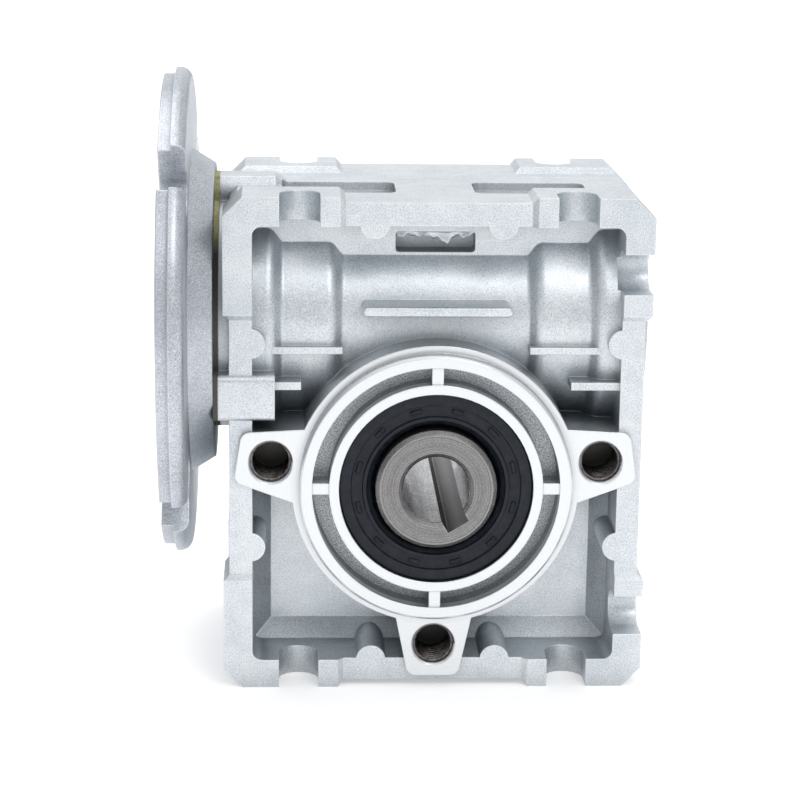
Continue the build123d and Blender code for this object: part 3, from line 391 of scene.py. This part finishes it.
def turned_steel(name, radius_of, bore_radius, grain_along):
    """Turned steel with concentric tool lines and a faint brown film."""
    finish = Finish(name, metallic=1.0, roughness=0.35)
    radius = radius_of(finish)
    lines = finish.rings(radius, 5200)
    film = finish.noise(900, detail=6, roughness=0.7)
    grain = finish.noise(3600, detail=2, roughness=0.6)
    tone = finish.blend(((lines, 0.65), (grain, 0.35)))
    colour = finish.mix(finish.ramp(tone, 0.4, 0.6), (0.125, 0.12, 0.12), (0.37, 0.362, 0.36))
    colour = finish.mix(finish.ramp(film, 0.5, 0.7, 0.0, 0.45), colour, (0.16, 0.145, 0.135))
    # Edges lightened: part wear, part painted highlight.
    worn_and_lit_edges = finish.times(finish.edge(0.45 * MM), 0.55)
    colour = finish.mix(worn_and_lit_edges, colour, (0.72, 0.71, 0.70))
    # Painted shade in the corners.
    steel_corner_shade = finish.times(finish.painted_corner_shade(5 * MM), 0.5)
    colour = finish.mix(steel_corner_shade, colour, (0.05, 0.05, 0.052))
    bore = finish.maths("LESS_THAN", radius, bore_radius + HOLE_MARGIN)
    drawn = finish.ramp(finish.noise(1800, detail=3, stretch=grain_along), 0.35, 0.65, 0.35, 0.8)
    colour = finish.mix(finish.times(bore, drawn), colour, (0.62, 0.62, 0.635))
    finish.colour(colour)
    rough = finish.ramp(grain, 0.35, 0.65, 0.3, 0.5)
    finish.roughness(finish.maths("SUBTRACT", rough, finish.times(bore, 0.14)))
    normal = finish.rounded(0.25 * MM)
    normal = finish.bump(lines, 0.012 * MM, 0.7, normal)
    finish.bump(grain, 0.02 * MM, 0.6, normal)
    return finish.material


def polished_steel(name, light, dark, roughness):
    """Ground or plated steel with a light scatter of marks."""
    finish = Finish(name, metallic=1.0, roughness=roughness)
    marks = finish.noise(1500, detail=4, roughness=0.6)
    finish.colour(finish.mix(finish.ramp(marks, 0.35, 0.65), dark, light))
    finish.roughness(finish.ramp(marks, 0.3, 0.7, roughness * 0.8, roughness * 1.3))
    normal = finish.rounded(0.12 * MM)
    finish.bump(marks, 0.006 * MM, 0.5, normal)
    return finish.material


def bronze():
    finish = Finish("bronze", metallic=1.0, roughness=0.3)
    marks = finish.noise(900, detail=5, roughness=0.6)
    colour = finish.mix(finish.ramp(marks, 0.35, 0.65), (0.52, 0.31, 0.12), (0.76, 0.52, 0.24))
    finish.colour(colour)
    finish.roughness(finish.ramp(marks, 0.3, 0.7, 0.22, 0.38))
    finish.bump(marks, 0.01 * MM, 0.5, finish.rounded(0.1 * MM))
    return finish.material


def rubber(name, tone):
    """Moulded nitrile rubber: nearly black, satin, with patches of dust and a painted highlight on its
    edges.
    """
    finish = Finish(name, roughness=0.42)
    finish.shader.inputs["Specular IOR Level"].default_value = 0.28
    dust = finish.noise(700, detail=5, roughness=0.65)
    fine = finish.noise(5200, detail=2)
    lifted = tuple(min(1.0, value * 2.1 + 0.004) for value in tone)
    colour = finish.mix(finish.ramp(dust, 0.42, 0.72), tone, lifted)
    colour = finish.mix(finish.ramp(fine, 0.66, 0.74, 0.0, 0.2), colour, (0.06, 0.065, 0.075))
    # Painted highlight along the edges.
    highlit_edges = finish.times(finish.edge(0.2 * MM), 0.5)
    colour = finish.mix(highlit_edges, colour, (0.05, 0.058, 0.075))
    finish.colour(colour)
    finish.roughness(finish.ramp(dust, 0.3, 0.7, 0.32, 0.52))
    normal = finish.rounded(0.15 * MM)
    finish.bump(fine, 0.012 * MM, 0.5, normal)
    return finish.material


def gasket_sheet():
    finish = Finish("gasket_sheet", roughness=0.75)
    fibre = finish.noise(1600, detail=5, roughness=0.7, stretch=(1.0, 0.3, 1.0))
    colour = finish.mix(finish.ramp(fibre, 0.35, 0.65), (0.26, 0.26, 0.10), (0.52, 0.50, 0.24))
    shadow = finish.ramp(finish.z, GASKET_BOSS_Z, GASKET_BODY_Z, 0.0, 0.92)
    colour = finish.mix(shadow, colour, (0.05, 0.052, 0.055))
    finish.colour(colour)
    finish.roughness(finish.ramp(fibre, 0.3, 0.7, 0.65, 0.85))
    finish.bump(fibre, 0.03 * MM, 0.6)
    return finish.material


def pale_floor():
    finish = Finish("pale_floor", roughness=0.6)
    soft = finish.noise(3, detail=3)
    finish.colour(finish.mix(finish.ramp(soft, 0.3, 0.7), (0.94, 0.94, 0.942), (0.96, 0.96, 0.962)))
    finish.shader.inputs["Emission Color"].default_value = (1.0, 1.0, 1.0, 1.0)
    finish.shader.inputs["Emission Strength"].default_value = FLOOR_GLOW
    return finish.material


def dress(material, *names):
    """Gives CAD nodes a finish."""
    for name in names:
        mesh = nodes[name].data
        mesh.materials.clear()
        mesh.materials.append(material)


def mesh_piece(name, body, material, shape):
    """A new piece from a bmesh, riding on a body."""
    mesh = bpy.data.meshes.new(name)
    shape.to_mesh(mesh)
    shape.free()
    mesh.materials.append(material)
    piece = bpy.data.objects.new(name, mesh)
    bpy.context.scene.collection.objects.link(piece)
    for polygon in mesh.polygons:
        polygon.use_smooth = True
    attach(piece, body)


def thread_in_hole(name, x, z, side, material):
    """Turns of a tapped thread, as a ridge that winds along the wall of an ear's hole."""
    start = FRAME_HALF_DEPTH - THREAD_INSET
    turns = int((EAR_HOLE_DEPTH - THREAD_RUNOUT) / THREAD_PITCH)
    sunk = EAR_HOLE_RADIUS + MARGIN
    crest = EAR_HOLE_RADIUS - THREAD_DEPTH
    root_shift = THREAD_ROOT_SHARE * THREAD_PITCH
    crest_shift = THREAD_CREST_SHARE * THREAD_PITCH
    profile = ((sunk, -root_shift), (crest, -crest_shift), (crest, crest_shift), (sunk, root_shift))
    last_step = turns * THREAD_STEPS
    shape = bmesh.new()
    rows = []
    for step in range(last_step + 1):
        turned = step / THREAD_STEPS
        angle = 2 * math.pi * turned
        along = start - THREAD_PITCH * turned
        fade = min(1.0, turned * 2, (last_step - step) / THREAD_STEPS * 2)
        row = []
        for radius, shift in profile:
            reach = sunk - (sunk - radius) * max(fade, 0.02)
            across, above = reach * math.cos(angle), reach * math.sin(angle)
            row.append(shape.verts.new((x + across, side * (along + shift), z + above)))
        rows.append(row)
    for near, far in zip(rows, rows[1:]):
        for index in range(len(profile)):
            after = (index + 1) % len(profile)
            shape.faces.new((near[index], near[after], far[after], far[index]))
    shape.faces.new(rows[0])
    shape.faces.new(list(reversed(rows[-1])))
    bmesh.ops.recalc_face_normals(shape, faces=shape.faces)
    mesh_piece(name, "casing", material, shape)


def window_flash(material):
    """Thin torn flash along the upper edge of the window, wavy as the trimming left it."""
    columns, rows = FLASH_COLUMNS, FLASH_ROWS
    shape = bmesh.new()
    for face_y in (FLASH_FRONT_Y, FLASH_FRONT_Y - FLASH_THICKNESS):
        for row in range(rows + 1):
            for column in range(columns + 1):
                share = column / columns
                x = WINDOW_HALF_WIDTH * (2 * share - 1)
                tongue = 1.1 * math.exp(-((share - 0.62) / 0.12) ** 2)
                ragged = 0.25 * math.sin(31 * share) + 0.16 * math.sin(67 * share + 1.3)
                length = (0.75 + tongue + ragged) * MM
                curl = 0.35 * MM * math.sin(23 * share) * (row / rows) ** 2
                z = WINDOW_TOP_Z + MARGIN - length * row / rows
                shape.verts.new((x, -face_y - curl, z))
    shape.verts.ensure_lookup_table()
    side = (rows + 1) * (columns + 1)
    for row in range(rows):
        for column in range(columns):
            corner = row * (columns + 1) + column
            front = (corner, corner + 1, corner + columns + 2, corner + columns + 1)
            shape.faces.new([shape.verts[index] for index in front])
            shape.faces.new([shape.verts[index + side] for index in reversed(front)])
    rim = [row * (columns + 1) for row in range(rows + 1)]
    rim += [rows * (columns + 1) + column for column in range(1, columns + 1)]
    rim += [row * (columns + 1) + columns for row in reversed(range(rows))]
    rim += list(reversed(range(1, columns)))
    for near, far in zip(rim, rim[1:] + rim[:1]):
        corners = (near, far, far + side, near + side)
        shape.faces.new([shape.verts[index] for index in corners])
    bmesh.ops.recalc_face_normals(shape, faces=shape.faces)
    mesh_piece("window_flash", "casing", material, shape)


def seal_marks(name, side, material):
    """A ring of small raised bars on the face of a shaft seal, as its mould leaves them."""
    shape = bmesh.new()
    for index in range(BAR_COUNT):
        middle = 2 * math.pi * (index + 0.5) / BAR_COUNT
        turns = [middle + BAR_HALF_ANGLE * share for share in (-1, -0.5, 0, 0.5, 1)]
        loops = []
        for y, shrink in ((BAR_FLOOR_Y, 0.0), (BAR_TOP_Y, BAR_DRAFT)):
            arc = [(BAR_OUTER_RADIUS - shrink, turn) for turn in turns]
            arc += [(BAR_INNER_RADIUS + shrink, turn) for turn in reversed(turns)]
            loop = []
            for radius, turn in arc:
                point = (radius * math.cos(turn), side * y, radius * math.sin(turn))
                loop.append(shape.verts.new(point))
            loops.append(loop)
        low, high = loops
        for start in range(len(low)):
            after = (start + 1) % len(low)
            shape.faces.new((low[start], low[after], high[after], high[start]))
        shape.faces.new(high)
        shape.faces.new(list(reversed(low)))
    bmesh.ops.recalc_face_normals(shape, faces=shape.faces)
    mesh_piece(name, "casing", material, shape)


def finish_nodes():
    aluminium = cast_aluminium()
    dress(aluminium, "housing", "side_cover")
    dress(flange_aluminium(), "motor_flange")
    output_steel = turned_steel("turned_steel_output", Finish.radius_y, OUTPUT_BORE_RADIUS, (1.0, 0.15, 1.0))
    worm_steel = turned_steel("turned_steel_worm", Finish.radius_worm, INPUT_BORE_RADIUS, (0.15, 1.0, 1.0))
    dress(output_steel, "output_shaft")
    dress(worm_steel, "worm_shaft")
    races = [name for name in nodes if name.endswith("_race")]
    balls = [name for name in nodes if name.endswith("_balls")]
    cages = [name for name in nodes if name.endswith("_cage")]
    dress(polished_steel("bearing_steel", (0.62, 0.63, 0.65), (0.48, 0.49, 0.51), 0.22), *races)
    dress(polished_steel("ball_steel", (0.75, 0.76, 0.78), (0.66, 0.67, 0.69), 0.1), *balls)
    dress(polished_steel("cage_steel", (0.5, 0.46, 0.38), (0.36, 0.33, 0.28), 0.35), *cages)
    dress(bronze(), "worm_wheel_rim")
    zinc = polished_steel("zinc_steel", (0.66, 0.68, 0.72), (0.46, 0.48, 0.53), 0.3)
    dress(zinc, "cover_screws", "flange_screws")
    spring = polished_steel("spring_steel", (0.06, 0.06, 0.065), (0.03, 0.03, 0.033), 0.4)
    dress(spring, "input_circlip", "end_circlip")
    seal = rubber("seal_rubber", (0.007, 0.009, 0.014))
    dress(seal, "front_seal", "rear_seal", "input_seal", "end_cap", "cover_o_ring")
    dress(gasket_sheet(), "flange_gasket")
    window_flash(aluminium)
    seal_marks("front_seal_marks", -1, seal)
    seal_marks("rear_seal_marks", 1, seal)


def ear_threads():
    # The threads get a dark finish: painted shade inside the holes.
    steel = polished_steel("shaded_tapped_thread", (0.26, 0.24, 0.23), (0.07, 0.062, 0.058), 0.35)
    for side_name, side in (("front", -1), ("rear", 1)):
        for place, degrees in EAR_ANGLES.items():
            turn = math.radians(degrees)
            x = EAR_CIRCLE * math.cos(turn)
            z = EAR_CIRCLE * math.sin(turn)
            thread_in_hole(f"{side_name}_ear_thread_{place}", x, z, side, steel)


def studio():
    """Pale floor, an even pale surround and three soft lights."""
    mesh = bpy.data.meshes.new("floor")
    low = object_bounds()[0].z
    signs = ((-1, -1), (1, -1), (1, 1), (-1, 1))
    corners = [(x * FLOOR_HALF_WIDTH, y * FLOOR_HALF_WIDTH, low) for x, y in signs]
    mesh.from_pydata(corners, [], [(0, 1, 2, 3)])
    mesh.materials.append(pale_floor())
    floor = bpy.data.objects.new("floor", mesh)
    bpy.context.scene.collection.objects.link(floor)
    floor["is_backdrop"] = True

    world = bpy.data.worlds.new("studio")
    bpy.context.scene.world = world
    world.use_nodes = True
    tree = world.node_tree
    background = tree.nodes["Background"]
    where = tree.nodes.new("ShaderNodeTexCoord")
    split = tree.nodes.new("ShaderNodeSeparateXYZ")
    tree.links.new(where.outputs["Generated"], split.inputs[0])
    ramp = tree.nodes.new("ShaderNodeValToRGB")
    ramp.color_ramp.elements[0].position = 0.0
    ramp.color_ramp.elements[0].color = HORIZON_COLOUR
    ramp.color_ramp.elements[1].position = 1.0
    ramp.color_ramp.elements[1].color = ZENITH_COLOUR
    tree.links.new(split.outputs[2], ramp.inputs[0])
    tree.links.new(ramp.outputs[0], background.inputs["Color"])
    background.inputs["Strength"].default_value = SURROUND_STRENGTH

    soft_light("key_light", (0.35, -0.8, 0.9), (0, 0, 0.01), (0.5, 0.3), 2.5)
    soft_light("top_light", (-0.1, 0.25, 0.9), (0, 0, 0.02), (0.6, 0.6), 1.5)
    soft_light("rim_light", (0.0, 1.1, 0.42), (0, 0, 0.03), (1.3, 0.3), 0.7)


def soft_light(name, place, target, size, watts):
    """A rectangular soft box that faces a target."""
    lamp = bpy.data.lights.new(name, "AREA")
    lamp.shape = "RECTANGLE"
    lamp.size, lamp.size_y = size
    lamp.energy = watts
    light = bpy.data.objects.new(name, lamp)
    light.location = place
    light.visible_camera = False
    light.rotation_mode = "QUATERNION"
    light.rotation_quaternion = (Vector(target) - Vector(place)).to_track_quat("-Z", "Y")
    bpy.context.scene.collection.objects.link(light)


def camera():
    """Camera at the photograph's viewing angle."""
    data = bpy.data.cameras.new("camera")
    data.lens = CAMERA_LENS
    data.sensor_width = SENSOR_WIDTH
    data.clip_start = 0.01
    data.clip_end = 20.0
    eye = bpy.data.objects.new("camera", data)
    eye.location = CAMERA_PLACE
    eye.rotation_mode = "QUATERNION"
    facing = (CAMERA_TARGET - CAMERA_PLACE).to_track_quat("-Z", "Y")
    eye.rotation_quaternion = facing @ Quaternion((0, 0, 1), CAMERA_ROLL)
    bpy.context.scene.collection.objects.link(eye)
    bpy.context.scene.camera = eye


camera()
studio()
finish_nodes()
ear_threads()
bpy.context.scene.view_settings.view_transform = "Standard"
